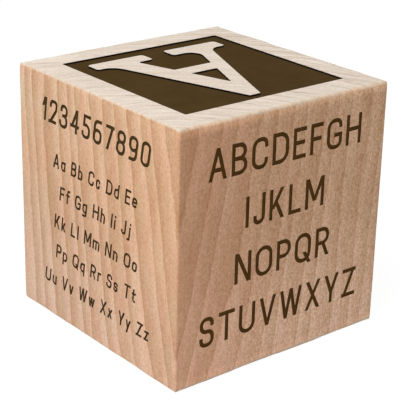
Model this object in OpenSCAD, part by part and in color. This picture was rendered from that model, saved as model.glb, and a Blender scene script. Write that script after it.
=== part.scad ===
// Alphabet block: one cube of solid maple with eased edges, standing on its lower end grain.
// A big letter stands in a sunk panel on the top, and rows of characters are cut into the sides.
// The floor of every cut carries a thin coat of dark brown infill.
// Frame: +Z up, origin at the middle of the underside, front face towards -Y, left face towards -X.

/* [Block] */
// Length of each side of the cube
side = 89; // [80:1:140]
// Radius of the eased edges
edge_r = 0.7; // [0.4:0.1:4]

/* [Top panel] */
// Width of the wooden border round the sunk panel
panel_margin = 10.6; // [6:0.2:14]
// Depth of the sunk panel below the top face
panel_depth = 0.9; // [0.6:0.1:3]
// Radius left in the corners of the panel by the cutter
panel_corner_r = 0.5; // [0.2:0.1:3]

/* [Top letter] */
// Space between the letter's feet and the panel's edge
letter_foot_gap = 6.4; // [2:0.2:9]
// Space between the letter's flat top and the panel's edge
letter_top_gap = 3.8; // [2:0.2:9]
// Space between the letter's feet and the panel's two side edges
letter_side_gap = 6; // [2:0.2:9]
// Space between the two feet, as a share of the letter's width
feet_gap_share = 0.163; // [0.08:0.001:0.22]
// Thickness of the feet, as a share of the letter's height
foot_h_share = 0.112; // [0.08:0.001:0.16]
// Length of the thick stem's foot outside the stem, as a share of the letter's width
thick_heel_share = 0.077; // [0.03:0.001:0.1]
// Length of the thin stem's foot outside the stem, as a share of the letter's width
thin_heel_share = 0.074; // [0.03:0.001:0.1]
// Width of the thick stem, measured level, as a share of the letter's width
thick_stem_share = 0.178; // [0.13:0.001:0.22]
// Width of the thin stem, measured level, as a share of the letter's width
thin_stem_share = 0.101; // [0.08:0.001:0.15]
// Width of the flat at the letter's top, as a share of the letter's width
apex_w_share = 0.079; // [0.06:0.001:0.14]
// Distance of that flat's middle from the letter's middle, towards the thick stem, as a share of its width
apex_shift_share = 0.039; // [0:0.001:0.07]
// Height of the crossbar's lower edge above the feet, as a share of the letter's height
crossbar_rise_share = 0.366; // [0.27:0.001:0.45]
// Thickness of the crossbar, as a share of the letter's height
crossbar_h_share = 0.111; // [0.05:0.001:0.14]
// Radius of the curve between a foot and its stem
bracket_r = 6; // [0.5:0.1:8]
// Radius of that curve inside the thin stem, as a share of the radius outside
inner_bracket_share = 0.7; // [0.2:0.05:1]
// Radius of the corners at the ends of the feet
foot_corner_r = 1.3; // [0.3:0.1:2]
// Radius that the cutter leaves on the letter's other corners
letter_corner_r = 0.3; // [0.1:0.1:1]

/* [Cut rows] */
// Depth of the cut characters
cut_depth = 0.5; // [0.3:0.1:2]
// Thickness of the brown infill on the floor of each cut
infill_t = 0.25; // [0.1:0.05:0.3]

/* [Front rows] */
// Height of the front capitals
front_cap = 10.7; // [7:0.1:12.8]
// Width of their strokes
front_stroke = 1.45; // [0.8:0.05:2]
// Distance from one front row to the next
front_pitch = 18.9; // [14:0.1:21]
// Space between neighbouring front capitals
front_letter_gap = 1.85; // [0.8:0.05:2.4]
// Height of the rows' middle above the middle of the face
front_lift = 2.1; // [-3:0.1:3]

/* [Left heading] */
// Height of the heading's numbers
heading_cap = 8.5; // [5:0.1:10.5]
// Width of their strokes
heading_stroke = 1.2; // [0.6:0.05:1.6]
// Space between neighbouring numbers
heading_letter_gap = 1.6; // [0.6:0.05:2.2]
// Space between the heading and the first row below it
heading_gap = 10.2; // [4:0.1:12]

/* [Left rows] */
// Height of the capitals in the left rows
left_cap = 5.3; // [3:0.1:6.2]
// Width of their strokes
left_stroke = 0.85; // [0.4:0.05:1]
// Distance from one left row to the next
left_pitch = 11.1; // [9:0.1:12.5]
// Space between neighbouring letters in the left rows
left_letter_gap = 0.95; // [0.4:0.05:1.3]
// Height of the middle of heading and rows above the middle of the face
left_lift = 2.1; // [-3:0.1:3]

/* [Right rows] */
// Height of the right face's numbers
right_cap = 14; // [8:0.1:17]
// Width of their strokes
right_stroke = 2.1; // [1:0.05:2.8]
// Distance from one right row to the next
right_pitch = 24; // [18:0.1:29]
// Space between neighbouring characters in the right rows
right_letter_gap = 4; // [2:0.05:5]

/* [Back shapes] */
// Width and height of each outlined shape on the back face
shape_size = 25; // [14:0.2:30]
// Distance between the middles of neighbouring shapes
shape_pitch = 36; // [31:0.2:43]
// Width of the shapes' outlines
shape_stroke = 2.1; // [1:0.05:3]

/* [Hidden] */

maple = [0.86, 0.70, 0.55];
brown = [0.29, 0.22, 0.12];

// What the rows say: the alphabet and the numbers, in order
front_rows = ["ABCDEFGH", "IJKLM", "NOPQR", "STUVWXYZ"];
left_heading = "1234567890";
left_rows = ["Aa Bb Cc Dd Ee", "Ff Gg Hh Ii Jj", "Kk Ll Mm Nn Oo", "Pp Qq Rr Ss Tt", "Uu Vv Ww Xx Yy Zz"];
right_rows = ["1 2 3", "4 5 6", "7 8 9"];

// Turn about the upright axis that brings a pattern to each side face
front_turn = 0;
right_turn = 90;
back_turn = 180;
left_turn = 270;

// Lean of the left face's characters, sideways for each unit of height
left_slant_share = 0.18;
// Distance that a cutter runs on past the surface it cuts
overrun = 1;
// Most that a straight step of a rounded corner may stand off the true arc
round_error = 0.02;
// Most of a straight stretch that its two rounded ends may take up together
round_limit_share = 0.98;

panel_side = side - 2 * panel_margin;
letter_h = panel_side - letter_foot_gap - letter_top_gap;
letter_w = panel_side - 2 * letter_side_gap;
letter_half_w = letter_w / 2;
letter_base = letter_foot_gap - panel_side / 2;
feet_half_gap = feet_gap_share * letter_half_w;
foot_h = foot_h_share * letter_h;
thick_stem = thick_stem_share * letter_w;
thin_stem = thin_stem_share * letter_w;
thick_foot_x = letter_half_w - thick_heel_share * letter_w;
thin_foot_x = thin_heel_share * letter_w - letter_half_w;
apex_right_x = (apex_shift_share + apex_w_share / 2) * letter_w;
apex_left_x = (apex_shift_share - apex_w_share / 2) * letter_w;
thick_lean = (thick_foot_x - apex_right_x) / letter_h;
thin_lean = (apex_left_x - thin_foot_x) / letter_h;
crossbar_rise = crossbar_rise_share * letter_h;
crossbar_top = crossbar_rise + crossbar_h_share * letter_h;

// Pen strokes of each character, as shares of its height inside the stroke's width.
// A row holds the character, its width, its open strokes and its closed loops.
// A point is [across, up] or, where the pen turns, [across, up, radius of the turn].
low_share = 0.62;
tail_share = -0.3;
small_bowl_shares = [[0, 0, 0.2], [0.42, 0, 0.2], [0.42, low_share, 0.2], [0, low_share, 0.2]];
left_bowl_shares = [[0.42, low_share], [0, low_share, 0.2], [0, 0, 0.2], [0.42, 0]];
right_bowl_shares = [[0, low_share], [0.42, low_share, 0.2], [0.42, 0, 0.2], [0, 0]];
arch_shares = [[0, low_share], [0.4, low_share, 0.19], [0.4, 0]];
low_stem_shares = [[0, 0], [0, low_share]];
tall_stem_shares = [[0, 0], [0, 1]];
round_o_shares = [[0, 0, 0.31], [0.64, 0, 0.31], [0.64, 1, 0.31], [0, 1, 0.31]];
glyph_shares = [
    [" ", 0.1, [], []],
    ["A", 0.64, [[[0, 0], [0.32, 1]], [[0.64, 0], [0.32, 1]], [[0.13, 0.3], [0.51, 0.3]]], []],
    ["B", 0.54, [
        tall_stem_shares,
        [[0, 1], [0.5, 1, 0.23], [0.5, 0.52, 0.23], [0, 0.52]],
        [[0, 0.52], [0.54, 0.52, 0.25], [0.54, 0, 0.25], [0, 0]]
    ], []],
    ["C", 0.58, [
        [[0.57, 0.76], [0.57, 1, 0.22], [0, 1, 0.28], [0, 0, 0.28], [0.57, 0, 0.22], [0.57, 0.24]]
    ], []],
    ["D", 0.6, [tall_stem_shares, [[0, 1], [0.6, 1, 0.34], [0.6, 0, 0.34], [0, 0]]], []],
    ["E", 0.46, [tall_stem_shares, [[0, 1], [0.46, 1]], [[0, 0.52], [0.4, 0.52]], [[0, 0], [0.46, 0]]], []],
    ["F", 0.44, [tall_stem_shares, [[0, 1], [0.44, 1]], [[0, 0.5], [0.38, 0.5]]], []],
    ["G", 0.6, [
        [[0.58, 0.78], [0.58, 1, 0.21], [0, 1, 0.28], [0, 0, 0.28], [0.6, 0, 0.21], [0.6, 0.45], [0.36, 0.45]]
    ], []],
    ["H", 0.6, [tall_stem_shares, [[0.6, 0], [0.6, 1]], [[0, 0.52], [0.6, 0.52]]], []],
    ["I", 0, [tall_stem_shares], []],
    ["J", 0.38, [[[0.38, 1], [0.38, 0, 0.2], [0, 0, 0.16], [0, 0.2]]], []],
    ["K", 0.55, [tall_stem_shares, [[0.07, 0.4], [0.51, 1]], [[0.55, 0], [0.22, 0.5]]], []],
    ["L", 0.44, [tall_stem_shares, [[0, 0], [0.44, 0]]], []],
    ["M", 0.76, [
        tall_stem_shares, [[0.76, 0], [0.76, 1]],
        [[0.38, 0.26], [0.02, 1]], [[0.38, 0.26], [0.74, 1]]
    ], []],
    ["N", 0.6, [tall_stem_shares, [[0.6, 0], [0.6, 1]], [[0.58, 0], [0.02, 1]]], []],
    ["O", 0.64, [], [round_o_shares]],
    ["P", 0.52, [tall_stem_shares, [[0, 1], [0.52, 1, 0.26], [0.52, 0.44, 0.26], [0, 0.44]]], []],
    ["Q", 0.66, [[[0.66, -0.06], [0.4, 0.24]]], [round_o_shares]],
    ["R", 0.54, [
        tall_stem_shares,
        [[0, 1], [0.52, 1, 0.25], [0.52, 0.46, 0.25], [0, 0.46]],
        [[0.54, 0], [0.26, 0.46]]
    ], []],
    ["S", 0.5, [
        [
            [0.48, 0.78], [0.48, 1, 0.19], [0, 1, 0.22], [0, 0.52, 0.22],
            [0.5, 0.52, 0.22], [0.5, 0, 0.22], [0, 0, 0.19], [0, 0.22]
        ]
    ], []],
    ["T", 0.58, [[[0.29, 0], [0.29, 1]], [[0, 1], [0.58, 1]]], []],
    ["U", 0.6, [[[0, 1], [0, 0, 0.29], [0.6, 0, 0.29], [0.6, 1]]], []],
    ["V", 0.62, [[[0.31, 0], [0, 1]], [[0.31, 0], [0.62, 1]]], []],
    ["W", 0.92, [
        [[0.23, 0], [0, 1]], [[0.23, 0], [0.46, 1]],
        [[0.69, 0], [0.46, 1]], [[0.69, 0], [0.92, 1]]
    ], []],
    ["X", 0.58, [[[0, 0], [0.58, 1]], [[0.58, 0], [0, 1]]], []],
    ["Y", 0.58, [[[0.29, 0], [0.29, 0.48]], [[0.29, 0.42], [0, 1]], [[0.29, 0.42], [0.58, 1]]], []],
    ["Z", 0.54, [[[0, 1], [0.54, 1]], [[0.03, 0], [0.51, 1]], [[0, 0], [0.54, 0]]], []],
    ["a", 0.42, [left_bowl_shares, [[0.42, 0], [0.42, low_share]]], []],
    ["b", 0.42, [right_bowl_shares, tall_stem_shares], []],
    ["c", 0.38, [
        [
            [0.36, 0.46], [0.36, low_share, 0.15], [0, low_share, 0.19],
            [0, 0, 0.19], [0.36, 0, 0.15], [0.36, 0.16]
        ]
    ], []],
    ["d", 0.42, [left_bowl_shares, [[0.42, 0], [0.42, 1]]], []],
    ["e", 0.42, [
        [[0, 0.33], [0.42, 0.33]],
        [
            [0.42, 0.33], [0.42, low_share, 0.19], [0, low_share, 0.2],
            [0, 0, 0.2], [0.4, 0, 0.15], [0.4, 0.06]
        ]
    ], []],
    ["f", 0.3, [[[0.1, 0], [0.1, 1, 0.17], [0.32, 1]], [[0, low_share], [0.3, low_share]]], []],
    ["g", 0.42, [left_bowl_shares, [[0.42, low_share], [0.42, tail_share, 0.18], [0.04, tail_share]]], []],
    ["h", 0.4, [tall_stem_shares, arch_shares], []],
    ["i", 0, [low_stem_shares, [[0, 0.93], [0, 0.95]]], []],
    ["j", 0.14, [
        [[0.14, low_share], [0.14, tail_share, 0.15], [-0.06, tail_share]],
        [[0.14, 0.93], [0.14, 0.95]]
    ], []],
    ["k", 0.38, [tall_stem_shares, [[0.06, 0.2], [0.36, low_share]], [[0.38, 0], [0.18, 0.26]]], []],
    ["l", 0, [tall_stem_shares], []],
    ["m", 0.68, [
        low_stem_shares,
        [[0, low_share], [0.34, low_share, 0.16], [0.34, 0]],
        [[0.34, low_share], [0.68, low_share, 0.16], [0.68, 0]]
    ], []],
    ["n", 0.4, [low_stem_shares, arch_shares], []],
    ["o", 0.42, [], [small_bowl_shares]],
    ["p", 0.42, [right_bowl_shares, [[0, tail_share], [0, low_share]]], []],
    ["q", 0.42, [left_bowl_shares, [[0.42, tail_share], [0.42, low_share]]], []],
    ["r", 0.26, [low_stem_shares, [[0, low_share], [0.26, low_share]]], []],
    ["s", 0.36, [
        [
            [0.34, 0.5], [0.34, low_share, 0.13], [0, low_share, 0.14], [0, 0.31, 0.14],
            [0.36, 0.31, 0.14], [0.36, 0, 0.14], [0, 0, 0.13], [0, 0.12]
        ]
    ], []],
    ["t", 0.3, [[[0.1, 0.9], [0.1, 0, 0.16], [0.3, 0]], [[0, low_share], [0.3, low_share]]], []],
    ["u", 0.4, [[[0, low_share], [0, 0, 0.19], [0.4, 0]], [[0.4, 0], [0.4, low_share]]], []],
    ["v", 0.4, [[[0.2, 0], [0, low_share]], [[0.2, 0], [0.4, low_share]]], []],
    ["w", 0.64, [
        [[0.16, 0], [0, low_share]], [[0.16, 0], [0.32, low_share]],
        [[0.48, 0], [0.32, low_share]], [[0.48, 0], [0.64, low_share]]
    ], []],
    ["x", 0.4, [[[0, 0], [0.4, low_share]], [[0.4, 0], [0, low_share]]], []],
    ["y", 0.4, [[[0.2, 0], [0, low_share]], [[0.1, tail_share], [0.4, low_share]]], []],
    ["z", 0.38, [
        [[0, low_share], [0.38, low_share]], [[0.04, 0], [0.34, low_share]],
        [[0, 0], [0.38, 0]]
    ], []],
    ["1", 0.24, [[[0.24, 0], [0.24, 1]], [[0.02, 0.7], [0.19, 1]]], []],
    ["2", 0.48, [
        [[0, 0.78], [0, 1, 0.2], [0.48, 1, 0.22], [0.48, 0.6, 0.3], [0.03, 0]],
        [[0, 0], [0.48, 0]]
    ], []],
    ["3", 0.5, [
        [[0.02, 0.8], [0.02, 1, 0.17], [0.46, 1, 0.22], [0.46, 0.53, 0.22], [0.2, 0.53]],
        [[0.2, 0.53], [0.5, 0.53, 0.24], [0.5, 0, 0.24], [0, 0, 0.19], [0, 0.22]]
    ], []],
    ["4", 0.54, [[[0.4, 0], [0.4, 1]], [[0.04, 0.28], [0.38, 1]], [[0, 0.28], [0.54, 0.28]]], []],
    ["5", 0.48, [
        [[0.05, 1], [0.44, 1]], [[0.05, 0.58], [0.05, 1]],
        [[0.05, 0.58], [0.48, 0.58, 0.24], [0.48, 0, 0.24], [0, 0, 0.19], [0, 0.2]]
    ], []],
    ["6", 0.5, [[[0, 0.3], [0, 1, 0.27], [0.42, 1]]], [
        [[0, 0, 0.24], [0.5, 0, 0.24], [0.5, 0.58, 0.24], [0, 0.58, 0.24]]
    ]],
    ["7", 0.48, [[[0, 1], [0.48, 1]], [[0.15, 0], [0.45, 1]]], []],
    ["8", 0.5, [], [
        [[0.02, 0.54, 0.21], [0.48, 0.54, 0.21], [0.48, 1, 0.21], [0.02, 1, 0.21]],
        [[0, 0, 0.24], [0.5, 0, 0.24], [0.5, 0.54, 0.24], [0, 0.54, 0.24]]
    ]],
    ["9", 0.5, [[[0.5, 0.7], [0.5, 0, 0.27], [0.08, 0]]], [
        [[0, 0.42, 0.24], [0.5, 0.42, 0.24], [0.5, 1, 0.24], [0, 1, 0.24]]
    ]],
    ["0", 0.5, [], [[[0, 0, 0.24], [0.5, 0, 0.24], [0.5, 1, 0.24], [0, 1, 0.24]]]]
];

// Outlines of the back face's shapes, as shares of half their width, with their corners' radii
circle_shares = [[-1, -1, 1], [1, -1, 1], [1, 1, 1], [-1, 1, 1]];
square_shares = [[-1, -1, 0.12], [1, -1, 0.12], [1, 1, 0.12], [-1, 1, 0.12]];
triangle_shares = [[-1, -0.85, 0.12], [1, -0.85, 0.12], [0, 0.9, 0.12]];
star_points = 5;
star_waist_share = 0.5;
star_shares = [
    for (i = [0 : 2 * star_points - 1])
        let (reach = i % 2 == 0 ? 1.06 : star_waist_share, bearing = 90 + 180 * i / star_points)
        [reach * cos(bearing), reach * sin(bearing) - 0.06, i % 2 == 0 ? 0.06 : 0]
];
shapes_shares = [circle_shares, square_shares, triangle_shares, star_shares];
shape_names = ["back_circle_infill", "back_square_infill", "back_triangle_infill", "back_star_infill"];

function unit(v) = v / norm(v);
function left_of(v) = [-v.y, v.x];
function flat(p) = [p.x, p.y];
function radius_of(p) = p.z == undef ? 0 : p.z;
function total(values, count) = count == 0 ? 0 : values[count - 1] + total(values, count - 1);

// Points of a corner at p rounded to its radius, between its neighbours a and b
function rounded_corner(a, p, b) =
    let (
        to_a = flat(a) - flat(p),
        to_b = flat(b) - flat(p),
        ua = unit(to_a),
        ub = unit(to_b),
        half = acos(max(-1, min(1, ua * ub))) / 2,
        room_a = norm(to_a) * p.z / (p.z + max(a.z, 0)),
        room_b = norm(to_b) * p.z / (p.z + max(b.z, 0)),
        reach = min(p.z / tan(half), round_limit_share * min(room_a, room_b)),
        r = reach * tan(half),
        middle = flat(p) + unit(ua + ub) * r / sin(half),
        from = flat(p) + ua * reach - middle,
        to = flat(p) + ub * reach - middle,
        start = atan2(from.y, from.x),
        sweep = (atan2(to.y, to.x) - start + 540) % 360 - 180,
        steps = ceil(abs(sweep) / (2 * acos(1 - min(1, round_error / r))))
    )
    [for (i = [0 : steps]) middle + r * [cos(start + sweep * i / steps), sin(start + sweep * i / steps)]];

// Closed outline with each corner [x, y, radius] rounded
function softened(points) =
    let (n = len(points))
    [
        for (i = [0 : n - 1])
            let (p = points[i])
            each p.z > 0 ? rounded_corner(points[(i + n - 1) % n], p, points[(i + 1) % n]) : [flat(p)]
    ];

// Outline of a square with its four corners rounded to r
function soft_square(half, r) =
    softened([for (corner = [[-1, -1], [1, -1], [1, 1], [-1, 1]]) [corner.x * half, corner.y * half, r]]);

// One corner of a pen stroke's edge, a half width h to the left (side_sign 1) or right (-1) of corner p
function edge_corner(a, p, b, h, side_sign) =
    let (
        na = left_of(unit(flat(p) - flat(a))),
        nb = left_of(unit(flat(b) - flat(p))),
        inner = side_sign * (na.x * nb.y - na.y * nb.x) > 0,
        r = radius_of(p),
        corner = flat(p) + side_sign * h * (na + nb) / (1 + na * nb)
    )
    [corner.x, corner.y, r == 0 ? 0 : inner ? r - h : r + h];

// One end of a stroke that goes along d: cut level on a steep stroke, and along the lean on a shallow one
function end_corner(p, d, h, slant, side_sign) =
    let (up = side_sign * sign(d.x) * h / max(abs(unit(d).x), abs(unit(d).y)))
    abs(d.y) >= abs(d.x)
        ? [p.x - side_sign * sign(d.y) * h / abs(unit(d).y), p.y, 0]
        : [p.x + slant * up, p.y + up, 0];

// Point p moved out by h along the main direction of d, so that a stroke's end covers the stroke it meets
function run_out(p, d, h) =
    abs(d.y) >= abs(d.x) ? [p.x, p.y + sign(d.y) * h, 0] : [p.x + sign(d.x) * h, p.y, 0];

// Outline of an open pen stroke of half width h, whose level strokes end along the slant
function stroke_outline(path, h, slant) =
    let (
        last = len(path) - 1,
        head = run_out(path[0], flat(path[0]) - flat(path[1]), h),
        foot = run_out(path[last], flat(path[last]) - flat(path[last - 1]), h),
        q = [for (i = [0 : last]) i == 0 ? head : i == last ? foot : path[i]],
        edge = function (side_sign) [
            for (i = [0 : last])
                i == 0 ? end_corner(q[0], flat(q[1]) - flat(q[0]), h, slant, side_sign)
                : i == last ? end_corner(q[last], flat(q[last]) - flat(q[last - 1]), h, slant, side_sign)
                : edge_corner(q[i - 1], q[i], q[i + 1], h, side_sign)
        ],
        left = edge(1)
    )
    softened(concat(edge(-1), [for (i = [last : -1 : 0]) left[i]]));

// Outline of one edge of a closed pen loop
function loop_outline(path, h, side_sign) =
    let (n = len(path))
    softened([
        for (i = [0 : n - 1])
            edge_corner(path[(i + n - 1) % n], path[i], path[(i + 1) % n], h, side_sign)
    ]);

module stroke(path, h, slant) {
    polygon(stroke_outline(path, h, slant));
}

// A closed loop's points go round against the clock, so its right edge is the outer one
module loop(path, h) {
    difference() {
        polygon(loop_outline(path, h, -1));
        polygon(loop_outline(path, h, 1));
    }
}

function glyph_of(character) = glyph_shares[search(character, glyph_shares)[0]];

// Distance from the start of one character to the start of the next
function advance(character, cap, pen, gap) = glyph_of(character)[1] * (cap - pen) + pen + gap;

// One row of characters, centred on x = 0, with its base line on y = 0
module row_of(label, cap, pen, gap, slant = 0) {
    scale_up = cap - pen;
    advances = [for (character = label) advance(character, cap, pen, gap)];
    start = (gap - total(advances, len(advances)) - slant * cap) / 2;
    for (i = [0 : len(label) - 1]) {
        glyph = glyph_of(label[i]);
        x = start + total(advances, i) + pen / 2;
        in_place = function (path) [
            for (p = path)
                [x + (p.x + slant * p.y) * scale_up, p.y * scale_up + pen / 2, radius_of(p) * scale_up]
        ];
        for (path = glyph[2]) stroke(in_place(path), pen / 2, slant);
        for (path = glyph[3]) loop(in_place(path), pen / 2);
    }
}

// Height of row i's base line above the face's middle, where count rows are centred on lift
function base_line(i, count, pitch, cap, lift) = lift + ((count - 1) / 2 - i) * pitch - cap / 2;

module front_row(i) {
    translate([0, base_line(i, len(front_rows), front_pitch, front_cap, front_lift)])
        row_of(front_rows[i], front_cap, front_stroke, front_letter_gap);
}

// Height of the left face's heading and rows together
left_group_h = heading_cap + heading_gap + (len(left_rows) - 1) * left_pitch + left_cap;

module left_heading_row() {
    translate([0, left_lift + left_group_h / 2 - heading_cap])
        row_of(left_heading, heading_cap, heading_stroke, heading_letter_gap, left_slant_share);
}

module left_row(i) {
    drop = heading_cap + heading_gap + left_cap + i * left_pitch;
    translate([0, left_lift + left_group_h / 2 - drop])
        row_of(left_rows[i], left_cap, left_stroke, left_letter_gap, left_slant_share);
}

module right_row(i) {
    translate([0, base_line(i, len(right_rows), right_pitch, right_cap, 0)])
        row_of(right_rows[i], right_cap, right_stroke, right_letter_gap);
}

// Shapes 0 and 1 stand above shapes 2 and 3
module back_shape(i) {
    column = i % 2 - 0.5;
    level = 0.5 - floor(i / 2);
    half = (shape_size - shape_stroke) / 2;
    path = [
        for (p = shapes_shares[i])
            [column * shape_pitch + p.x * half, level * shape_pitch + p.y * half, p.z * half]
    ];
    loop(path, shape_stroke / 2);
}

function thick_outer(y) = thick_foot_x - thick_lean * y;
function thick_inner(y) = thick_outer(y) - thick_stem;
function thin_outer(y) = thin_foot_x + thin_lean * y;
function thin_inner(y) = thin_outer(y) + thin_stem;

// The letter without its counter, upright, with the middle of its feet at the origin
letter_corners = [
    [-letter_half_w, 0, foot_corner_r],
    [-feet_half_gap, 0, foot_corner_r],
    [-feet_half_gap, foot_h, foot_corner_r],
    [thin_inner(foot_h), foot_h, inner_bracket_share * bracket_r],
    [thin_inner(crossbar_rise), crossbar_rise, letter_corner_r],
    [thick_inner(crossbar_rise), crossbar_rise, letter_corner_r],
    [thick_inner(foot_h), foot_h, foot_corner_r],
    [feet_half_gap, foot_h, foot_corner_r],
    [feet_half_gap, 0, foot_corner_r],
    [letter_half_w, 0, foot_corner_r],
    [letter_half_w, foot_h, foot_corner_r],
    [thick_outer(foot_h), foot_h, bracket_r],
    [apex_right_x, letter_h, letter_corner_r],
    [apex_left_x, letter_h, letter_corner_r],
    [thin_outer(foot_h), foot_h, bracket_r],
    [-letter_half_w, foot_h, foot_corner_r]
];

// Height at which the inner edges of the two stems meet
counter_top = (thick_inner(0) - thin_inner(0)) / (thick_lean + thin_lean);
counter_corners = [
    [thin_inner(crossbar_top), crossbar_top, letter_corner_r],
    [thick_inner(crossbar_top), crossbar_top, letter_corner_r],
    [thick_inner(counter_top), counter_top, letter_corner_r]
];

// The letter's top points to the front of the block
module letter_place() {
    rotate(180) translate([0, letter_base]) children();
}

module panel_field() {
    difference() {
        polygon(soft_square(panel_side / 2, panel_corner_r));
        letter_place() polygon(softened(letter_corners));
    }
}

module letter_counter() {
    letter_place() polygon(softened(counter_corners));
}

// Brings a flat pattern to the side face that looks along turn, with z = 0 on that face
module on_side(turn) {
    rotate([90, 0, turn]) translate([0, side / 2, side / 2]) children();
}

// The space that the cutter clears to a depth, from a little above the surface
module cut(depth) {
    translate([0, 0, -depth]) linear_extrude(depth + overrun) children();
}

module side_infill(turn) {
    color(brown) on_side(turn) translate([0, 0, -cut_depth]) linear_extrude(infill_t) children();
}

module top_infill() {
    color(brown) translate([0, 0, side - panel_depth]) linear_extrude(infill_t) children();
}

// A square bar with its four long edges eased
module eased_bar() {
    linear_extrude(side, center = true) polygon(soft_square(side / 2, edge_r));
}

module eased_cube() {
    translate([0, 0, side / 2])
        intersection() {
            eased_bar();
            rotate([90, 0, 0]) eased_bar();
            rotate([0, 90, 0]) eased_bar();
        }
}

module maple_block() {
    color(maple)
        difference() {
            eased_cube();
            translate([0, 0, side]) cut(panel_depth) {
                panel_field();
                letter_counter();
            }
            on_side(front_turn) cut(cut_depth)
                for (i = [0 : len(front_rows) - 1]) front_row(i);
            on_side(left_turn) cut(cut_depth) {
                left_heading_row();
                for (i = [0 : len(left_rows) - 1]) left_row(i);
            }
            on_side(right_turn) cut(cut_depth)
                for (i = [0 : len(right_rows) - 1]) right_row(i);
            on_side(back_turn) cut(cut_depth)
                for (i = [0 : len(shapes_shares) - 1]) back_shape(i);
        }
}

module top_panel_infill() {
    top_infill() panel_field();
}

module letter_counter_infill() {
    top_infill() letter_counter();
}

module front_row_infill(i) {
    side_infill(front_turn) front_row(i);
}

module left_heading_infill() {
    side_infill(left_turn) left_heading_row();
}

module left_row_infill(i) {
    side_infill(left_turn) left_row(i);
}

module right_row_infill(i) {
    side_infill(right_turn) right_row(i);
}

module back_shape_infill(i) {
    side_infill(back_turn) back_shape(i);
}

maple_block();
top_panel_infill();
letter_counter_infill();
left_heading_infill();
for (i = [0 : len(front_rows) - 1])
    front_row_infill(i);
for (i = [0 : len(left_rows) - 1])
    left_row_infill(i);
for (i = [0 : len(right_rows) - 1])
    right_row_infill(i);
for (i = [0 : len(shape_names) - 1])
    back_shape_infill(i);
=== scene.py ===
"""Alphabet block: the looks of a solid maple cube with a big letter on top and characters on its sides.

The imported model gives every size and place. This script adds the softened rims, the sanded edges, the grain
of the wood, the brown coat in the cuts, the floor, the lamps and the camera.
"""

import math

import bmesh
import bpy
from bpy.props import FloatProperty, FloatVectorProperty, PointerProperty
from mathutils import Matrix, Vector, noise


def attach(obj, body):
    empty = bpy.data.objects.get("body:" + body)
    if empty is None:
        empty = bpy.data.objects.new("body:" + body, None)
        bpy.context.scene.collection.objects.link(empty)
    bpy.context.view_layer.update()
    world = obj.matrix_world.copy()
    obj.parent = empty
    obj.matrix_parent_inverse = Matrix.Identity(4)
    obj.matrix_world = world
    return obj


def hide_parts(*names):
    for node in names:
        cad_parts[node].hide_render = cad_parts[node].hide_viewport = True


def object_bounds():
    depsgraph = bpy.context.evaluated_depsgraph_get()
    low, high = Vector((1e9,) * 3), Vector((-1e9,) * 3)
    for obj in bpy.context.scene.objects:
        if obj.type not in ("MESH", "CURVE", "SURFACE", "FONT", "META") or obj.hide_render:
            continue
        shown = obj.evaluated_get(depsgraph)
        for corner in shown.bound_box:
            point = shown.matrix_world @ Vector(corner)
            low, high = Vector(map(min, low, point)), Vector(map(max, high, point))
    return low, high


bl_info = {
    "name": "Alphabet block",
    "version": (1, 0, 0),
    "blender": (4, 5, 0),
    "location": "3D View > Sidebar > Block",
    "description": "Dresses the packed alphabet block in maple, brown coat and studio light",
    "category": "Object",
}

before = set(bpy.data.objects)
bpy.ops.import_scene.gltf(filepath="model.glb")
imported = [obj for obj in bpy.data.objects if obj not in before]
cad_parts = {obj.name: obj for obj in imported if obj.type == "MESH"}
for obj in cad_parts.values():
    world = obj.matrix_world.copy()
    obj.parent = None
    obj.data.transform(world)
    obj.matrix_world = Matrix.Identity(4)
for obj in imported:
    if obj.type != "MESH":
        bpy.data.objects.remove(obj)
CAD_LOW, CAD_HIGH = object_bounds()
MM = 0.001
SIDE = (CAD_HIGH - CAD_LOW).z
HALF = SIDE / 2
INFILLS = [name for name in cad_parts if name.endswith("_infill")]

# The mesh of the wood
MERGE_DISTANCE = 0.0005 * MM
SURFACE_SLACK = 0.001 * MM
FLAT_ANGLE = math.radians(0.3)
RIM_ANGLE = math.radians(60)
SHARP_ANGLE = math.radians(32)
RIM_SEGMENTS = 2
LINES_BY_EDGE = (0.55, 0.78)  # places of the lines next to an edge, in mesh steps

# Sanding by hand: the noise that makes it uneven, per millimetre, and its shares
SLOW_SCALE = 0.045
SLOW_SHARE = 0.75
QUICK_SCALE = 0.21
QUICK_SHARE = 0.4
QUICK_SLICE = Vector((7, 3, 5))
MIDDLE_WEAR = 0.5
LEAST_ROUNDING = 0.4
UPRIGHT_SHARE = 0.2  # what the upright edges get of the other edges' wear

# The shaders work in millimetres: places and distances are in them, and noise scales are per millimetre
HALF_MM = HALF / MM
TOP_MM = 2 * HALF_MM
SIDE_BLEND_MM = 3  # half the width over which the look of one side turns into the next one's
BORDER_MM = 10  # the letter's face lies further in than this
LEAN_FADE_MM = 110  # over this distance from the nearest corner the rings' lean dies out
LEAST_LEAN = 0.05
UNEVEN_SLICE = 3.7  # where the noise that makes the rings uneven is cut
TURN_RADIUS_MM = 110  # turns an angle about the heart into a length along a ring
UPRIGHT_SCALE = 0.02  # scale of the end grain's noise down into the wood
NOISE_SPAN = (0.3, 0.7)  # where most values of a noise lie

# Lightness over one ring, from its start to its end, and the middle levels of the sides and the end grain
RING_PROFILE = [(0.0, 0.1), (0.07, 1.0), (0.3, 0.84), (0.55, 0.55), (0.8, 0.36), (0.93, 0.26), (0.985, 0.0)]
MIDDLE_LIGHT = 0.52
SIDE_LIGHT = 1.01
END_LIGHT = 0.74

# How strongly each feature of the wood shows, and the painted highlight and painted shade on the front's
# edges
CLOUDS = 0.36
SPECKS = 0.34
FIBRES = 0.13
PORES = 0.12
PALE_FLECKS = 0.35
DARK_FLECKS = 0.3
STREAKS = 0.8
RAYS = 0.14
RING_LINES = 0.9
LIT_EDGE = 0.22
LOWEST_SHADE = 0.15

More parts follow.
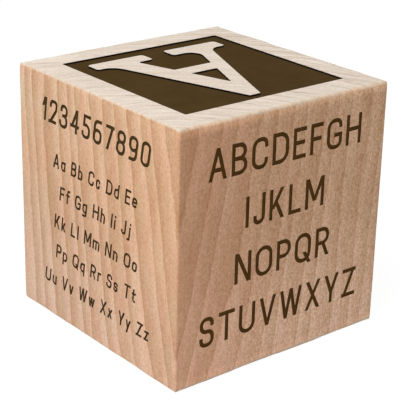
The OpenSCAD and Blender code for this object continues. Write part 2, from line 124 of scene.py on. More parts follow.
# Roughness, and the strength and depth of the relief
WOOD_ROUGHNESS = 0.6
WOOD_RELIEF = (0.25, 0.12 * MM)
COAT_ROUGHNESS = 0.55
COAT_RELIEF = (0.3, 0.05 * MM)

# Tints that multiply the colour of the wood or the coat
PINK = (1.03, 0.9, 0.86)
STRAW = (0.99, 1.05, 0.9)
FRONT_BY_LEFT = (0.965, 0.875, 0.868)
FRONT_BY_RIGHT = (1.03, 1.065, 1.11)
# Painted light from the floor, which makes the front paler low down
FRONT_FLOOR_LIGHT = (1.31, 1.42, 1.61)
LEFT_BY_BACK = (0.95, 1.0, 1.06)
LEFT_LOW = (1.02, 1.09, 1.24)
LEFT_HIGH = (1.02, 1.04, 1.06)
# Painted warm glow on the top edges of the left and of the front
LEFT_TOP_EDGE_GLOW = (0.97, 0.95, 0.9)
FRONT_TOP_EDGE_GLOW = (1.02, 0.94, 0.83)
COAT_ON_FRONT = (1.5, 1.2, 0.8)

WHITE = (1, 1, 1, 1)
FLOOR_GLOW = 1.09
FLOOR_GLOW_SHARE = 0.86  # the rest of what the camera sees of the floor is lit, and so shows the shadow
SENSOR_WIDTH = 36


def tone(red, green, blue):
    """The linear colour of a screen colour given in steps of 0 to 255, by the sRGB curve."""
    steps = (red, green, blue)
    return tuple(((c / 255 + 0.055) / 1.055) ** 2.4 if c > 10 else c / 255 / 12.92 for c in steps)


PALE_FLECK = tone(236, 206, 178)
DARK_FLECK = tone(170, 124, 94)
LIT_FIBRE = tone(250, 206, 166)
SPECK_TINT = (0.03, 0.085, 0.11)


class WoodSettings(bpy.types.PropertyGroup):
    """Sizes and colours of the wooden block"""

    rim_softening: FloatProperty(
        name="Rim softening", description="Width of the softened rim of every cut",
        default=0.07 * MM, min=0, unit="LENGTH")
    sanding_depth: FloatProperty(
        name="Sanding depth", description="Most that hand sanding has taken off along the block's edges",
        default=0.28 * MM, min=0, unit="LENGTH")
    sanding_reach: FloatProperty(
        name="Sanding reach", description="How far from an edge the sanding has worn the face",
        default=4.5 * MM, min=0.1 * MM, unit="LENGTH")
    top_rounding: FloatProperty(
        name="Top rounding", description="Extra wear on the top edges of the front and the right face",
        default=0.26 * MM, min=0, unit="LENGTH")
    rounding_reach: FloatProperty(
        name="Rounding reach", description="How far from those top edges the extra wear goes",
        default=2.8 * MM, min=0.1 * MM, unit="LENGTH")
    mesh_step: FloatProperty(
        name="Mesh step", description="Distance between the lines that divide the faces",
        default=2.4 * MM, min=1 * MM, unit="LENGTH")
    ring_width: FloatProperty(
        name="Ring width", description="Distance from one growth ring to the next",
        default=6.12 * MM, min=1 * MM, unit="LENGTH")
    first_ring: FloatProperty(
        name="First ring", description="Distance from the tree's heart to a ring that crosses the block",
        default=68.4 * MM, min=0, unit="LENGTH")
    heart: FloatVectorProperty(
        name="Heart", description="Where the tree's heart passes the block at the height of its top",
        default=(-82.5 * MM, -94.5 * MM), size=2, unit="LENGTH")
    lean: FloatProperty(
        name="Lean", description="How far the rings shift towards the heart for each unit below the top",
        default=0.12, min=0, max=0.5)
    early_wood: FloatVectorProperty(
        name="Early wood", description="Pale wood at the start of each ring",
        default=tone(223, 185, 151), size=3, min=0, max=1, subtype="COLOR")
    late_wood: FloatVectorProperty(
        name="Late wood", description="Darker wood at the end of each ring",
        default=tone(193, 148, 114), size=3, min=0, max=1, subtype="COLOR")
    # The end grain's colours are partly its own and partly painted sheen, which makes them whiter
    end_pale_with_sheen: FloatVectorProperty(
        name="Pale end grain", description="Lighter streaks of the end grain",
        default=tone(227, 215, 201), size=3, min=0, max=1, subtype="COLOR")
    end_dark_with_sheen: FloatVectorProperty(
        name="Dark end grain", description="Darker streaks of the end grain",
        default=tone(184, 161, 140), size=3, min=0, max=1, subtype="COLOR")
    # A painted warm glow along the sanded edges, for the warm light that the rims catch
    edge_glow_tint: FloatVectorProperty(
        name="Edge tint", description="Warm tint that multiplies the wood's colour along the sanded edges",
        default=(0.93, 0.89, 0.83), size=3, min=0, max=1, subtype="COLOR")


class CoatSettings(bpy.types.PropertyGroup):
    """Colours of the brown coat in the cuts"""

    coat: FloatVectorProperty(
        name="Coat", description="Brown coat on the floor of the cuts",
        default=tone(68, 52, 28), size=3, min=0, max=1, subtype="COLOR")
    coat_worn: FloatVectorProperty(
        name="Worn coat", description="Lighter patches of the brown coat",
        default=tone(79, 62, 37), size=3, min=0, max=1, subtype="COLOR")
    wall: FloatVectorProperty(
        name="Cut wall", description="Darker brown on the walls of the cuts",
        default=tone(17, 11, 5), size=3, min=0, max=1, subtype="COLOR")
    deep_wall: FloatVectorProperty(
        name="Panel wall", description="Darkest brown, on the walls of the top panel and its letter",
        default=tone(7, 4, 2), size=3, min=0, max=1, subtype="COLOR")


class StageSettings(bpy.types.PropertyGroup):
    """Camera, floor and light"""

    camera_place: FloatVectorProperty(
        name="Camera", description="Where the camera stands",
        default=(-283.51 * MM, -344.05 * MM, 219.23 * MM), size=3, unit="LENGTH")
    camera_aim: FloatVectorProperty(
        name="Aim", description="The point that the camera looks at",
        default=(1.39 * MM, -3.6 * MM, 39.87 * MM), size=3, unit="LENGTH")
    camera_roll: FloatProperty(
        name="Roll", description="Turn of the camera about its line of sight",
        default=math.radians(1.48), unit="ROTATION")
    focal_length: FloatProperty(
        name="Focal length", description="Focal length of the lens in millimetres, on a sensor 36 mm wide",
        default=118.2, min=10)
    floor_size: FloatProperty(
        name="Floor", description="Length of each side of the floor",
        default=6, min=1, unit="LENGTH")
    floor_shade: FloatProperty(
        name="Floor shade", description="How much of the light that falls on the floor comes back",
        default=0.8, min=0, max=1)
    key_place: FloatVectorProperty(
        name="Key lamp's place", description="Where the large lamp stands, above the block's left side",
        default=(-0.5, -0.09, 0.79), size=3, unit="LENGTH")
    key_size: FloatProperty(
        name="Key lamp's size", description="Width of the large lamp's disc",
        default=0.7, min=0.01, unit="LENGTH")
    key_power: FloatProperty(
        name="Key lamp", description="Power of the large lamp above the block's left side",
        default=7.4, min=0, unit="POWER")
    back_place: FloatVectorProperty(
        name="Back lamp's place", description="Where the back lamp stands, high behind the right side",
        default=(0.42, 0.36, 0.78), size=3, unit="LENGTH")
    back_size: FloatProperty(
        name="Back lamp's size", description="Width of the back lamp's disc",
        default=0.6, min=0.01, unit="LENGTH")
    back_power: FloatProperty(
        name="Back lamp", description="Power of the lamp high behind the block's right side",
        default=1.2, min=0, unit="POWER")
    sky_strength: FloatProperty(
        name="Sky", description="Strength of the even light from all round",
        default=0.28, min=0)


class Wire:
    """One shader value. An expression on wires adds the Math nodes that work it out."""

    def __init__(self, paint, socket):
        self.paint = paint
        self.socket = socket

    def math(self, operation, *others):
        """The result of a Math node on this value and the others."""
        return self.paint.node("ShaderNodeMath", {"operation": operation}, [self, *others])

    def __add__(self, other):
        return self.math("ADD", other)

    def __mul__(self, other):
        return self.math("MULTIPLY", other)

    __radd__ = __add__
    __rmul__ = __mul__

    def __sub__(self, other):
        return self.math("SUBTRACT", other)

    def __rsub__(self, other):
        return self.paint.node("ShaderNodeMath", {"operation": "SUBTRACT"}, [other, self])

    def __truediv__(self, other):
        return self.math("DIVIDE", other)

    def __rtruediv__(self, other):
        return self.paint.node("ShaderNodeMath", {"operation": "DIVIDE"}, [other, self])

    def __abs__(self):
        return self.math("ABSOLUTE")

    def held(self):
        """The value, held between 0 and 1."""
        return self.math("MAXIMUM", 0).math("MINIMUM", 1)


class Paint:
    """A node tree that is filled by expressions on its wires."""

    def __init__(self, owner):
        owner.use_nodes = True
        self.tree = owner.node_tree
        self.tree.nodes.clear()

    def node(self, kind, settings=None, inputs=(), output=0):
        """Adds a node, sets it up, gives its sockets values or links, and returns an output as a wire."""
        made = self.tree.nodes.new(kind)
        for name, value in (settings or {}).items():
            if name == "stops":
                self.set_stops(made.color_ramp, value)
            else:
                setattr(made, name, value)
        pairs = inputs.items() if isinstance(inputs, dict) else enumerate(inputs)
        for key, value in pairs:
            if isinstance(value, Wire):
                self.tree.links.new(value.socket, made.inputs[key])
            else:
                made.inputs[key].default_value = value
        return Wire(self, made.outputs[output])

    def set_stops(self, ramp, stops):
        """Gives a colour ramp its grey stops, each a position and a level."""
        while len(ramp.elements) < len(stops):
            ramp.elements.new(1)
        for element, (position, level) in zip(ramp.elements, stops):
            element.position = position
            element.color = (level, level, level, 1)

    def place_mm(self):
        """The spot on the object, in millimetres."""
        spot = self.node("ShaderNodeTexCoord", output="Object")
        return self.node("ShaderNodeVectorMath", {"operation": "SCALE"}, {0: spot, "Scale": 1 / MM})

    def split(self, vector):
        """The three coordinates of a vector."""
        first = self.node("ShaderNodeSeparateXYZ", inputs=[vector])
        return [Wire(self, socket) for socket in first.socket.node.outputs]

    def join(self, *parts):
        """The vector of three coordinates."""
        return self.node("ShaderNodeCombineXYZ", inputs=parts)

    def noise(self, vector, scale, detail, roughness):
        """Plain noise of a given scale."""
        return self.node("ShaderNodeTexNoise", {"noise_dimensions": "3D"},
                         {"Vector": vector, "Scale": scale, "Detail": detail, "Roughness": roughness})

    def grain(self, vector, scale=1, detail=2, roughness=0.5, low=0, high=1):
        """Noise, stretched so that its usual span of values runs from low to high."""
        return self.between(self.noise(vector, scale, detail, roughness), *NOISE_SPAN, low, high)

    def between(self, value, start, end, low=0, high=1, smooth=False):
        """Maps start..end to low..high and holds the ends."""
        kind = "SMOOTHSTEP" if smooth else "LINEAR"
        return self.node("ShaderNodeMapRange", {"interpolation_type": kind, "clamp": True},
                         {0: value, 1: start, 2: end, 3: low, 4: high})

    def mix(self, factor, first, second, blend="MIX"):
        """Mixes two colours, each a colour or a wire."""
        colours = [c if isinstance(c, Wire) else (*c, 1) for c in (first, second)]
        return self.node("ShaderNodeMix", {"data_type": "RGBA", "blend_type": blend},
                         {0: factor, 6: colours[0], 7: colours[1]}, output=2)

    def tint(self, factor, colour, by):
        """Multiplies a colour by a tint, as far as the factor says."""
        return self.mix(factor, colour, by, "MULTIPLY")

    def shade(self, colour, factor):
        """Multiplies a colour by a number."""
        return self.node("ShaderNodeVectorMath", {"operation": "SCALE"}, {0: colour, "Scale": factor})

    def bump(self, height, strength, distance):
        """The normal of a surface with fine relief."""
        return self.node("ShaderNodeBump", inputs={
            "Strength": strength, "Distance": distance, "Height": height})

    def surface(self, colour, roughness, normal, specular):
        """Ends a material in its shader."""
        self.finish(self.node("ShaderNodeBsdfPrincipled", inputs={
            "Base Color": colour, "Roughness": roughness, "Normal": normal,
            "Specular IOR Level": specular}))

    def seen(self):
        """One for a ray from the camera, a reflection or a ray through glass, which show the background."""
        rays = [self.node("ShaderNodeLightPath", output=name)
                for name in ("Is Camera Ray", "Is Glossy Ray", "Is Transmission Ray")]
        return rays[0].math("MAXIMUM", rays[1]).math("MAXIMUM", rays[2])

    def finish(self, shader, kind="ShaderNodeOutputMaterial"):
        """Links a shader to the tree's output."""
        out = self.tree.nodes.new(kind)
        self.tree.links.new(shader.socket, out.inputs["Surface"])


class Spot:
    """A spot of the wood: its place in millimetres, its depth below the faces, and the side it is on."""

    def __init__(self, paint):
        self.paint = paint
        self.place = paint.place_mm()
        self.x, self.y, self.z = paint.split(self.place)

        # Its depth below the level faces, the nearest upright one, and the nearest two of all
        from_x = HALF_MM - abs(self.x)
        from_y = HALF_MM - abs(self.y)
        farther = from_x.math("MAXIMUM", from_y)
        self.from_z = HALF_MM - abs(self.z - HALF_MM)
        self.from_upright = from_x.math("MINIMUM", from_y)
        self.nearest = self.from_upright.math("MINIMUM", self.from_z)
        self.next_nearest = self.from_upright.math("MAXIMUM", farther.math("MINIMUM", self.from_z))

        # The front and the right face lie where x is more than y, the left and the back where it is less
        self.across = self.x - self.y
        self.on_front = paint.between(self.across, -SIDE_BLEND_MM, SIDE_BLEND_MM, smooth=True)

    def stretched(self, across, along):
        """The place scaled by one number across the fibres and by another along them."""
        return self.paint.join(self.x * across, self.y * across, self.z * along)

    def grain(self, across, along, **settings):
        """Noise with one scale across the fibres and another along them."""
        return self.paint.grain(self.stretched(across, along), **settings)


class Rings:
    """The growth rings: distance from the tree's heart, and the place within a ring."""

    def __init__(self, spot, wood):
        self.spot = spot
        paint = spot.paint
        heart_x, heart_y = (v / MM for v in wood.heart)
        across_x = spot.x - heart_x
        across_y = spot.y - heart_y

        # Going down, the rings shift towards the heart, and less where they are far from it
        corner_r = math.hypot(HALF_MM + heart_x, HALF_MM + heart_y)
        upright_r = (across_x * across_x + across_y * across_y).math("SQRT")
        fade = paint.between(upright_r, corner_r, corner_r + LEAN_FADE_MM, low=1, high=LEAST_LEAN)
        shift = (TOP_MM - spot.z) * fade * wood.lean
        out_x = across_x + shift
        out_y = across_y + shift
        self.turn = out_y.math("ARCTAN2", out_x) * TURN_RADIUS_MM
        even_r = (out_x * out_x + out_y * out_y).math("SQRT")

        # They wander slowly, shiver finely, and aren't all of one width
        wander = spot.grain(across=0.035, along=0.012, detail=1, low=-1.3, high=1.3)
        shiver = spot.grain(across=0.25, along=0.06, detail=4, roughness=0.65, low=-0.4, high=0.4)
        slice_place = paint.join(even_r * 0.14, spot.z * 0.004, UNEVEN_SLICE)
        uneven = paint.grain(slice_place, detail=0, low=-1.5, high=1.5)
        self.radius = even_r + wander + shiver + uneven

        count = (self.radius - wood.first_ring / MM) / (wood.ring_width / MM)
        self.phase = count.math("FRACT")
        self.light = paint.node("ShaderNodeValToRGB", {"stops": RING_PROFILE}, {"Fac": self.phase})
        self.strength = paint.node(
            "ShaderNodeTexWhiteNoise", {"noise_dimensions": "1D"}, {"W": count.math("FLOOR")})

    def grain(self, out, along, **settings):
        """Noise with one scale outwards from the heart and another along the rings."""
        paint = self.spot.paint
        place = paint.join(self.radius * out, self.turn * along, self.spot.z * UPRIGHT_SCALE)
        return paint.grain(place, **settings)


def side_colour(spot, rings, fibre, cloud, fleck, wood):
    """The wood along its fibres: rings, a drift of hue, specks, pores and flecks."""
    paint = spot.paint

    # The left and the back show the rings more strongly than the front and the right
    ring_depth = paint.between(spot.y - spot.x, -30, 30, low=0.75, high=1.15, smooth=True)
    ring_depth = ring_depth * paint.between(rings.strength, 0, 1, low=0.65, high=1.1)
    light = MIDDLE_LIGHT + (rings.light - MIDDLE_LIGHT) * ring_depth
    light = light + (cloud - 0.5) * CLOUDS
    colour = paint.mix(light.held(), wood.late_wood, wood.early_wood)

    # The hue drifts between pink and straw
    drift = spot.grain(across=0.25, along=0.06, detail=2, roughness=0.5)
    drift_depth = paint.between(spot.across, -SIDE_BLEND_MM, SIDE_BLEND_MM, low=0.85, high=0.4)
    drift = 0.5 + (drift - 0.5) * drift_depth
    colour = paint.tint(drift, colour, PINK)
    colour = paint.tint((1 - light) * (1 - drift), colour, STRAW)

    # Fine fibres, specks and open pores
    speck_depth = paint.between(spot.across, 0, HALF_MM, low=0.75, high=1.35)
    speck = (spot.grain(across=1.7, along=1.2, detail=3, roughness=0.75) - 0.5) * speck_depth
    pore = paint.between(spot.grain(across=5, along=0.55, detail=2, roughness=0.6), 0.7, 1)
    colour = paint.shade(colour, SIDE_LIGHT + speck * SPECKS + (fibre - 0.5) * FIBRES - pore * PORES)
    colour = paint.node(
        "ShaderNodeVectorMath", {"operation": "MULTIPLY_ADD"}, [SPECK_TINT, speck, colour])

    # Short pale and dark flecks
    colour = paint.mix(paint.between(fleck, 0.64, 0.74) * PALE_FLECKS, colour, PALE_FLECK)
    return paint.mix(paint.between(fleck, 0.36, 0.26) * DARK_FLECKS, colour, DARK_FLECK)


def tint_sides(spot, colour):
    """The broad changes of colour over the front and the left face, with painted light and painted shade low
    on the front.
    """
    paint = spot.paint

    # The front is warm by the left face and paler by the right; low down it is paler from painted light from
    # the floor, and its lowest edge is darkened by painted shade against the light that the floor throws back
    warmth = paint.mix(paint.between(spot.across, 0, 1.3 * HALF_MM), FRONT_BY_LEFT, FRONT_BY_RIGHT)
    colour = paint.tint(spot.on_front, colour, warmth)
    floor_light = paint.between(spot.z, 46, 0) * paint.between(spot.across, 0, 30, low=0.65, high=1)
    colour = paint.tint(spot.on_front * floor_light, colour, FRONT_FLOOR_LIGHT)
    shade = spot.on_front * paint.between(spot.z, 0.3, 3.5, low=LOWEST_SHADE, high=0)
    colour = paint.shade(colour, 1 - shade)

    # The left is cooler by the back, and paler low down and near the top
    on_left = 1 - spot.on_front
    colour = paint.tint(paint.between(spot.y, -40, 30) * on_left, colour, LEFT_BY_BACK)
    colour = paint.tint(paint.between(spot.z, 60, 0) * on_left, colour, LEFT_LOW)
    return paint.tint(paint.between(spot.z, 62, 80) * on_left, colour, LEFT_HIGH)


def end_colour_with_sheen(spot, rings, cloud, streak, wood):
    """The end grain: streaks along the rings, dark lines where rings end, fine rays and pits. Its pale colour
    is partly the end grain's own and partly painted sheen.
    """
    paint = spot.paint
    on_letter = paint.between(spot.from_upright, BORDER_MM, BORDER_MM + 2)

    # Streaks and ring lines are stronger to the right and weaker on the letter; the streaks are also weaker
    # by the front, and the ring lines by every edge
    streak_depth = paint.between(spot.y, -HALF_MM, 14 - HALF_MM, low=0.6, high=1)
    streak_depth = streak_depth * paint.between(spot.x, 15, 40, low=1, high=1.5)
    streak_depth = streak_depth * (1 - on_letter * 0.35)
    ring_line = paint.between(rings.phase, 0.84, 0.98) * paint.between(cloud, 0.2, 0.8)
    ring_line = ring_line * paint.between(spot.next_nearest, 1, 5, low=0.35, high=1)
    ring_line = ring_line * paint.between(spot.x, 20, 40, low=1, high=1.5)
    ring_line = ring_line * (1 - on_letter * 0.55)

    ray = rings.grain(out=0.2, along=1.3, detail=3, roughness=0.6)
    pit = (spot.grain(across=1.6, along=0.1, detail=3, roughness=0.7) - 0.5) * (0.35 + on_letter * 0.25)
    light = END_LIGHT + (streak - 0.5) * streak_depth * STREAKS + (ray - 0.5) * RAYS
    light = light + pit - ring_line * RING_LINES
    return paint.mix(light.held(), wood.end_dark_with_sheen, wood.end_pale_with_sheen)


def end_share(spot):
    """One on the end grain, and nothing past a torn line just below the top and above the underside."""
    paint = spot.paint
    by_front = spot.on_front * paint.between(spot.y, 4 - HALF_MM, 2 - HALF_MM)
    torn = spot.grain(across=0.35, along=0.3, detail=4, roughness=0.75, low=-0.35, high=0.35)
    torn = torn * (by_front + 0.6)
    return 1 - paint.between(spot.from_z + torn, 0.1 + by_front * 0.1, 0.9 + by_front * 0.7, smooth=True)


def paint_edge_light(spot, colour, wood):
    """Paints a patchy warm glow on the sanded edges, a highlight on the front's two level edges, and a few
    glints.
    """
    paint = spot.paint
    # Noise that makes the painted warm glow patchy
    worn = spot.grain(across=0.5, along=0.5, detail=3, roughness=0.6)
    by_edge = 1 - paint.between(spot.next_nearest, 0.4, 1.9, smooth=True)
    by_edge = by_edge * paint.between(spot.from_z, 1, 4, low=1, high=0.35)
    by_edge = by_edge * paint.between(worn, 0.2, 0.9, low=0.6, high=1)
    by_top = paint.between(spot.z, TOP_MM - 4, TOP_MM - 1)
    top_tint = paint.mix(spot.on_front, LEFT_TOP_EDGE_GLOW, FRONT_TOP_EDGE_GLOW)
    colour = paint.tint(by_edge, colour, paint.mix(by_top, wood.edge_glow_tint, top_tint))

    # A painted highlight along the front's two level edges
    lit = spot.on_front * paint.between(spot.from_z, 0.3, 1)
    lit = lit * paint.between(spot.from_z, 1.2, 4.5, low=LIT_EDGE, high=0, smooth=True)
    colour = paint.shade(colour, 1 + lit)

    # A few painted glints on lit fibres along the rims
    glint = paint.between(spot.grain(across=1.1, along=0.3, detail=1), 0.68, 0.9)
    by_rim = (1 - paint.between(spot.from_z, 0.8, 3.5)) * paint.between(spot.from_z, 0.1, 0.6)
    return paint.mix(by_rim * glint * (0.35 + spot.on_front * 0.55), colour, LIT_FIBRE)


def in_cut_share(spot):
    """One on the walls of the cuts, up to a ragged line just below the rim."""
    paint = spot.paint
    ragged = paint.grain(spot.place, scale=3.1, low=0.03, high=0.11)
    return paint.between(spot.nearest - ragged, -0.02, 0.02) * paint.between(spot.next_nearest, 2.9, 3.3)


def maple_material(wood, coat):
    """Maple with growth rings on its sides, end grain on top and below, and brown walls in the cuts."""
    material = bpy.data.materials.new("maple")
    paint = Paint(material)
    spot = Spot(paint)
    rings = Rings(spot, wood)
    fibre = spot.grain(across=1.7, along=0.09, detail=4, roughness=0.6)
    cloud = spot.grain(across=0.09, along=0.035, detail=3, roughness=0.55)
    fleck = paint.noise(spot.stretched(across=1.3, along=0.32), scale=1, detail=2, roughness=0.6)
    streak = rings.grain(out=0.75, along=0.05, detail=5, roughness=0.7)
    on_end = end_share(spot)
    in_cut = in_cut_share(spot)

    along = tint_sides(spot, side_colour(spot, rings, fibre, cloud, fleck, wood))
    colour = paint.mix(on_end, along, end_colour_with_sheen(spot, rings, cloud, streak, wood))
    colour = paint_edge_light(spot, colour, wood)
    in_panel = paint.between(spot.z, TOP_MM - 3, TOP_MM - 2)
    colour = paint.mix(in_cut, colour, paint.mix(in_panel, coat.wall, coat.deep_wall))

    rough = WOOD_ROUGHNESS + (fibre - 0.5) * 0.12 + in_cut * 0.35
    relief = fibre * 0.6 + streak * on_end * 0.5 + fleck * 0.5
    paint.surface(colour, rough, paint.bump(relief, *WOOD_RELIEF), specular=0.1)
    return material


def coat_material(coat):
    """Matt brown coat with faint cloudy patches and a fine tooth."""
    material = bpy.data.materials.new("brown_coat")
    paint = Paint(material)
    place = paint.place_mm()
    x, y, z = paint.split(place)
    patch = paint.grain(place, scale=0.12, detail=3, roughness=0.6)
    tooth = paint.grain(place, scale=2.2, detail=3, roughness=0.65)
    colour = paint.mix(patch * 0.6 + tooth * 0.4, coat.coat, coat.coat_worn)

    # The coat on the front and the right is warmer than in the top panel and on the other two sides
    on_front = paint.between(x - y, -SIDE_BLEND_MM, SIDE_BLEND_MM) * paint.between(z, TOP_MM - 2, TOP_MM - 4)
    colour = paint.tint(on_front, colour, COAT_ON_FRONT)
    rough = COAT_ROUGHNESS + (tooth - 0.5) * 0.16
    paint.surface(colour, rough, paint.bump(tooth, *COAT_RELIEF), specular=0)
    return material


def merged_copy(node):
    """A CAD node's loose triangles, merged, with the flat ones joined to larger faces."""
    bm = bmesh.new()
    bm.from_mesh(node.data)
    bmesh.ops.remove_doubles(bm, verts=bm.verts, dist=MERGE_DISTANCE)
    bmesh.ops.dissolve_limit(
        bm, angle_limit=FLAT_ANGLE, use_dissolve_boundaries=False, verts=bm.verts, edges=bm.edges)
    bm.normal_update()
    return bm


def is_rim(edge):
    """True for an edge where a flat outer face drops into a cut."""
    if len(edge.link_faces) != 2 or edge.calc_face_angle_signed() < RIM_ANGLE:
        return False
    centre = Vector((0, 0, HALF))
    return all(max(map(abs, v.co - centre)) > HALF - SURFACE_SLACK for v in edge.verts)


def soften_rims(bm, width):
    """Rounds the rim of every cut."""
    rims = [edge for edge in bm.edges if is_rim(edge)]
    if not rims:
        raise RuntimeError("maple_block has no cut whose rim can be softened")
    bmesh.ops.bevel(
        bm, geom=rims, offset=width, offset_type="OFFSET", segments=RIM_SEGMENTS, profile=0.5,
        affect="EDGES", clamp_overlap=True, material=-1)


def divide(bm, step):
    """Cuts the mesh by evenly spaced planes along the three axes, so that it can follow the sanding."""
    count = round(SIDE / step)
    near = [share * step for share in LINES_BY_EDGE]
    places = near + [SIDE * i / count for i in range(1, count)] + [SIDE - place for place in near]
    for axis in range(3):
        direction = Vector((axis == 0, axis == 1, axis == 2))
        for place in places:
            bmesh.ops.bisect_plane(
                bm, geom=[*bm.verts, *bm.edges, *bm.faces], dist=MERGE_DISTANCE,
                plane_co=direction * (CAD_LOW[axis] + place), plane_no=direction)


def sand(bm, wood):
    """Wears the block's edges down unevenly, and the top edges of the front and the right face most."""
    centre = Vector((0, 0, HALF))
    for vert in bm.verts:
        off = vert.co - centre
        gaps = [HALF - abs(c) for c in off]
        if sorted(gaps)[1] >= wood.sanding_reach:
            continue
        slow = noise.noise(vert.co / MM * SLOW_SCALE)
        quick = noise.noise(vert.co / MM * QUICK_SCALE + QUICK_SLICE)
        wear = min(1, max(0, MIDDLE_WEAR + SLOW_SHARE * slow + QUICK_SHARE * quick))
        rounding = wood.top_rounding * (LEAST_ROUNDING + (1 - LEAST_ROUNDING) * wear)
        loss = [0.0, 0.0, 0.0]
        for pair in ((0, 1), (0, 2), (1, 2)):
            gap = max(gaps[axis] for axis in pair)
            worn = wood.sanding_depth * wear * max(0, 1 - gap / wood.sanding_reach) ** 2
            if 2 not in pair:
                worn *= UPRIGHT_SHARE
            elif off.z > 0 and (off.y < 0 if 1 in pair else off.x > 0):
                worn += rounding * max(0, 1 - gap / wood.rounding_reach) ** 2
            for axis in pair:
                loss[axis] = max(loss[axis], worn)
        for axis in range(3):
            vert.co[axis] -= math.copysign(loss[axis], off[axis])


class BLOCK_OT_shape_wood(bpy.types.Operator):
    """Makes the wooden block: softened rims, sanded edges and maple grain"""

    bl_idname = "alphabet_block.shape_wood"
    bl_label = "Shape the wood"

    def execute(self, context):
        wood = context.scene.block_wood
        bm = merged_copy(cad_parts["maple_block"])
        soften_rims(bm, wood.rim_softening)
        divide(bm, wood.mesh_step)
        sand(bm, wood)
        for face in bm.faces:
            face.smooth = True
        mesh = bpy.data.meshes.new("wooden_block")
        bm.to_mesh(mesh)
        bm.free()
        mesh.set_sharp_from_angle(angle=SHARP_ANGLE)
        mesh.materials.append(maple_material(wood, context.scene.block_coat))
        piece = bpy.data.objects.new("wooden_block", mesh)
        context.scene.collection.objects.link(piece)
        normals = piece.modifiers.new("weighted_normals", "WEIGHTED_NORMAL")
        normals.keep_sharp = True
        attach(piece, "root")
        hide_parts("maple_block")
        return {"FINISHED"}


class BLOCK_OT_coat_cuts(bpy.types.Operator):
    """Gives the floor of every cut its brown coat"""

    bl_idname = "alphabet_block.coat_cuts"
    bl_label = "Coat the cuts"

    def execute(self, context):
        if not INFILLS:
            raise RuntimeError("The frame holds no infill to coat")
        material = coat_material(context.scene.block_coat)
        for name in INFILLS:
            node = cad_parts[name]
            node.data.materials.clear()
            node.data.materials.append(material)
        return {"FINISHED"}


def lay_floor(scene, stage):
    """A pale floor that the camera sees as white, with the block's soft shadow on it."""
    bm = bmesh.new()
    bmesh.ops.create_grid(bm, x_segments=1, y_segments=1, size=stage.floor_size / 2)
    mesh = bpy.data.meshes.new("studio_floor")
    bm.to_mesh(mesh)
    bm.free()
    material = bpy.data.materials.new("floor_white")
    mesh.materials.append(material)
    paint = Paint(material)
    matte = paint.node("ShaderNodeBsdfDiffuse", inputs={"Color": (*[stage.floor_shade] * 3, 1)})
    white = paint.node("ShaderNodeEmission", inputs={"Color": WHITE, "Strength": FLOOR_GLOW})
    share = paint.seen() * FLOOR_GLOW_SHARE
    paint.finish(paint.node("ShaderNodeMixShader", inputs=[share, matte, white]))
    floor = bpy.data.objects.new("studio_floor", mesh)
    scene.collection.objects.link(floor)


def hang_sky(scene, stage):
    """Even light from all round, which the camera sees as a white background."""
    world = bpy.data.worlds.new("studio_sky")
    scene.world = world
    paint = Paint(world)
    sky = paint.node("ShaderNodeBackground", inputs=[WHITE, stage.sky_strength])
    backdrop = paint.node("ShaderNodeBackground", inputs=[WHITE, 1])
    both = paint.node("ShaderNodeMixShader", inputs=[paint.seen(), sky, backdrop])
    paint.finish(both, "ShaderNodeOutputWorld")


def hang_lamp(scene, name, place, size, power):
    """A round, soft lamp that points at the middle of the block."""
    data = bpy.data.lights.new(name, "AREA")
    data.shape = "DISK"
    data.size = size
    data.energy = power
    lamp = bpy.data.objects.new(name, data)
    lamp.location = place
    lamp.rotation_euler = (Vector((0, 0, HALF)) - Vector(place)).to_track_quat("-Z", "Y").to_euler()
    scene.collection.objects.link(lamp)


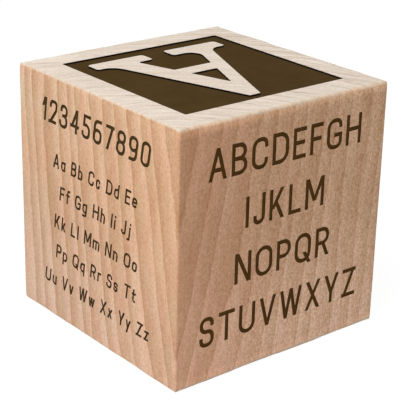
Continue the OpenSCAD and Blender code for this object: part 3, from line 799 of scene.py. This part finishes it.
def place_camera(scene, stage):
    """The camera, where it sees the block's left and front face and its top."""
    data = bpy.data.cameras.new("camera")
    data.sensor_width = SENSOR_WIDTH
    data.lens = stage.focal_length
    camera = bpy.data.objects.new("camera", data)
    scene.collection.objects.link(camera)
    place = Vector(stage.camera_place)
    sight = (Vector(stage.camera_aim) - place).to_track_quat("-Z", "Y")
    roll = Matrix.Rotation(stage.camera_roll, 4, "Z")
    camera.matrix_world = Matrix.Translation(place) @ sight.to_matrix().to_4x4() @ roll
    scene.camera = camera


class BLOCK_OT_set_stage(bpy.types.Operator):
    """Sets up the pale floor, the soft lamps, the sky and the camera"""

    bl_idname = "alphabet_block.set_stage"
    bl_label = "Set the stage"

    def execute(self, context):
        scene = context.scene
        stage = scene.block_stage
        scene.view_settings.view_transform = "Standard"
        lay_floor(scene, stage)
        hang_sky(scene, stage)
        hang_lamp(scene, "key_lamp", stage.key_place, stage.key_size, stage.key_power)
        hang_lamp(scene, "back_lamp", stage.back_place, stage.back_size, stage.back_power)
        place_camera(scene, stage)
        return {"FINISHED"}


class BLOCK_PT_sidebar(bpy.types.Panel):
    """Lists the block's settings and the steps that make it"""

    bl_idname = "BLOCK_PT_sidebar"
    bl_label = "Alphabet block"
    bl_space_type = "VIEW_3D"
    bl_region_type = "UI"
    bl_category = "Block"

    def draw(self, context):
        for group in SETTINGS:
            settings = getattr(context.scene, group)
            box = self.layout.box()
            for name in settings.bl_rna.properties.keys():
                if name not in ("rna_type", "name"):
                    box.prop(settings, name)
        for operator in OPERATORS:
            self.layout.operator(operator.bl_idname)


SETTINGS = {"block_wood": WoodSettings, "block_coat": CoatSettings, "block_stage": StageSettings}
OPERATORS = (BLOCK_OT_shape_wood, BLOCK_OT_coat_cuts, BLOCK_OT_set_stage)
CLASSES = (*SETTINGS.values(), *OPERATORS, BLOCK_PT_sidebar)


def register():
    """Adds the classes, and the settings to the scene."""
    for cls in CLASSES:
        bpy.utils.register_class(cls)
    for name, group in SETTINGS.items():
        setattr(bpy.types.Scene, name, PointerProperty(type=group))


def unregister():
    """Takes the settings and the classes away again."""
    for name in SETTINGS:
        delattr(bpy.types.Scene, name)
    for cls in reversed(CLASSES):
        bpy.utils.unregister_class(cls)


def main():
    """Makes the block and its stage."""
    register()
    bpy.ops.alphabet_block.shape_wood()
    bpy.ops.alphabet_block.coat_cuts()
    bpy.ops.alphabet_block.set_stage()


if __name__ == "__main__":
    main()
